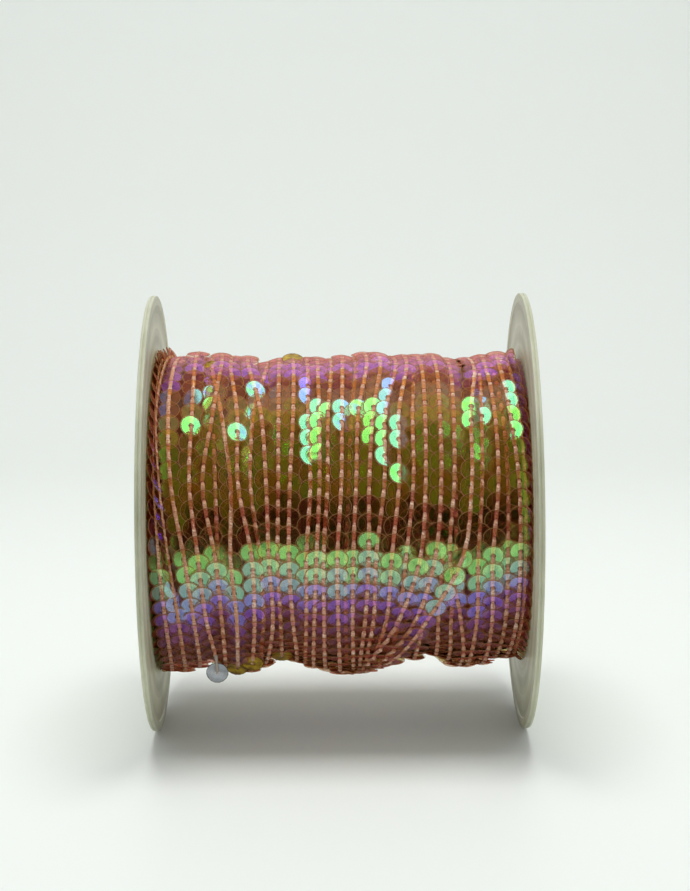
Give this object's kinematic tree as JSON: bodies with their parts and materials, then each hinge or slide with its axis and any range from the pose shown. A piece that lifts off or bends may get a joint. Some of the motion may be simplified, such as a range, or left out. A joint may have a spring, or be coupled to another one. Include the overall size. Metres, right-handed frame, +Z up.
{
  "type": "roll of sequin trim on a spool",
  "caption": "Strand of flat round sequins on a thread, wound in uneven layers on a plastic spool with two thin round flanges and a through bore.",
  "frame": {"origin": "on the surface the roll stands on, midway between the two flanges and right under the spool axis", "axes": "+X along the spool axis to the right flange, +Z up, -Y towards the side where the loose end hangs"},
  "size_m": [0.1028, 0.12, 0.1197],
  "materials": {
    "spool_plastic": "moulded natural polypropylene, off-white and slightly translucent, with a soft gloss",
    "sequin_film": "clear amber polyester film with an iridescent coating that turns from green to violet with the angle",
    "thread": "salmon pink chain-stitched polyester thread with a dull sheen"
  },
  "bodies": {
    "root": {"left_flange": "spool_plastic", "right_flange": "spool_plastic", "winding": "sequin_film", "loose_end": "thread"}
  },
  "joints": []
}
